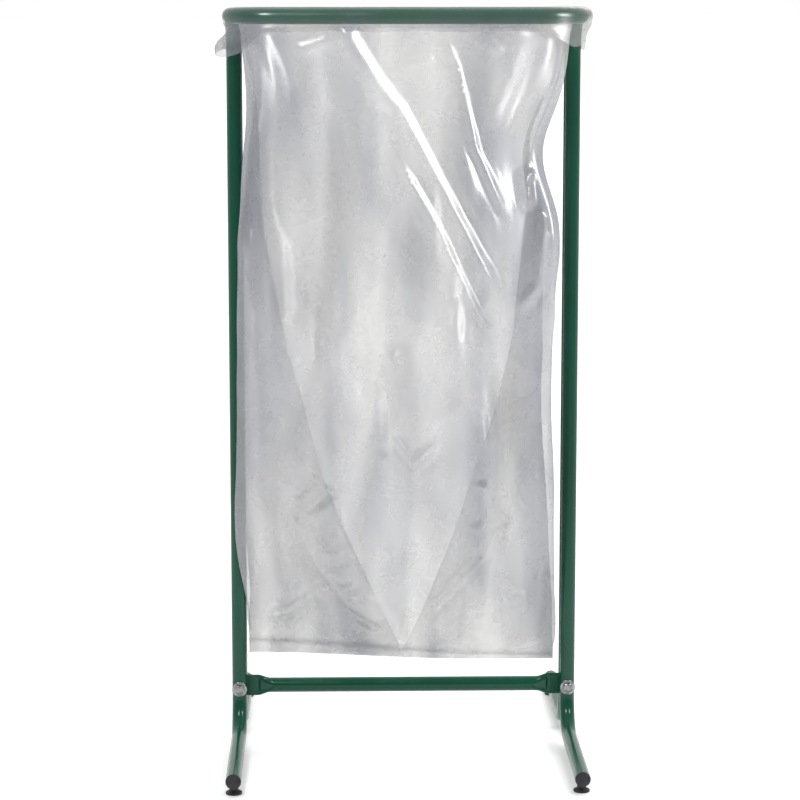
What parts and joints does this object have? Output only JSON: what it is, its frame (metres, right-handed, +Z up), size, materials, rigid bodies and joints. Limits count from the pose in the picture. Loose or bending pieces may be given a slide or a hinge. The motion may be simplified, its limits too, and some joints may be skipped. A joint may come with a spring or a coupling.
{
  "type": "plastic bag holder",
  "caption": "Free-standing refuse sack holder of bent green steel tube with a flat-ended crossbar, black feet and a clear sack turned over its hoop.",
  "frame": {"origin": "on the floor, midway between the two frames and between the uprights", "axes": "+Z up, +X to the right seen from the front, +Y to the back"},
  "size_m": [0.4984, 0.5462, 1.0601],
  "materials": {
    "green_enamel": "gloss",
    "zinc_steel": "satin",
    "black_plastic": "satin",
    "clear_film": "gloss"
  },
  "bodies": {
    "stand": {"front_frame": "green_enamel", "rear_frame": "green_enamel", "crossbar": "green_enamel", "bolt_left": "zinc_steel", "front_washer_left": "zinc_steel", "rear_washer_left": "zinc_steel", "lock_nut_left": "zinc_steel", "end_plug_front_left": "black_plastic", "threaded_insert_front_left": "zinc_steel", "end_plug_rear_left": "black_plastic", "threaded_insert_rear_left": "zinc_steel", "bolt_right": "zinc_steel", "front_washer_right": "zinc_steel", "rear_washer_right": "zinc_steel", "lock_nut_right": "zinc_steel", "end_plug_front_right": "black_plastic", "threaded_insert_front_right": "zinc_steel", "end_plug_rear_right": "black_plastic", "threaded_insert_rear_right": "zinc_steel"},
    "glide_front_left": {"glide_pad_front_left": "black_plastic", "glide_stud_front_left": "zinc_steel"},
    "glide_front_right": {"glide_pad_front_right": "black_plastic", "glide_stud_front_right": "zinc_steel"},
    "glide_rear_left": {"glide_pad_rear_left": "black_plastic", "glide_stud_rear_left": "zinc_steel"},
    "glide_rear_right": {"glide_pad_rear_right": "black_plastic", "glide_stud_rear_right": "zinc_steel"},
    "sack": {"sack": "clear_film"}
  },
  "joints": [
    {"name": "sack_lift", "type": "slide", "parent": "stand", "child": "sack", "axis": [0, 0, 1], "range_m": [0, 0.95]},
    {"name": "glide_front_left_level", "type": "slide", "parent": "stand", "child": "glide_front_left", "axis": [0, 0, -1], "range_m": [0, 0.01]},
    {"name": "glide_front_right_level", "type": "slide", "parent": "stand", "child": "glide_front_right", "axis": [0, 0, -1], "range_m": [0, 0.01]},
    {"name": "glide_rear_left_level", "type": "slide", "parent": "stand", "child": "glide_rear_left", "axis": [0, 0, -1], "range_m": [0, 0.01]},
    {"name": "glide_rear_right_level", "type": "slide", "parent": "stand", "child": "glide_rear_right", "axis": [0, 0, -1], "range_m": [0, 0.01]}
  ]
}
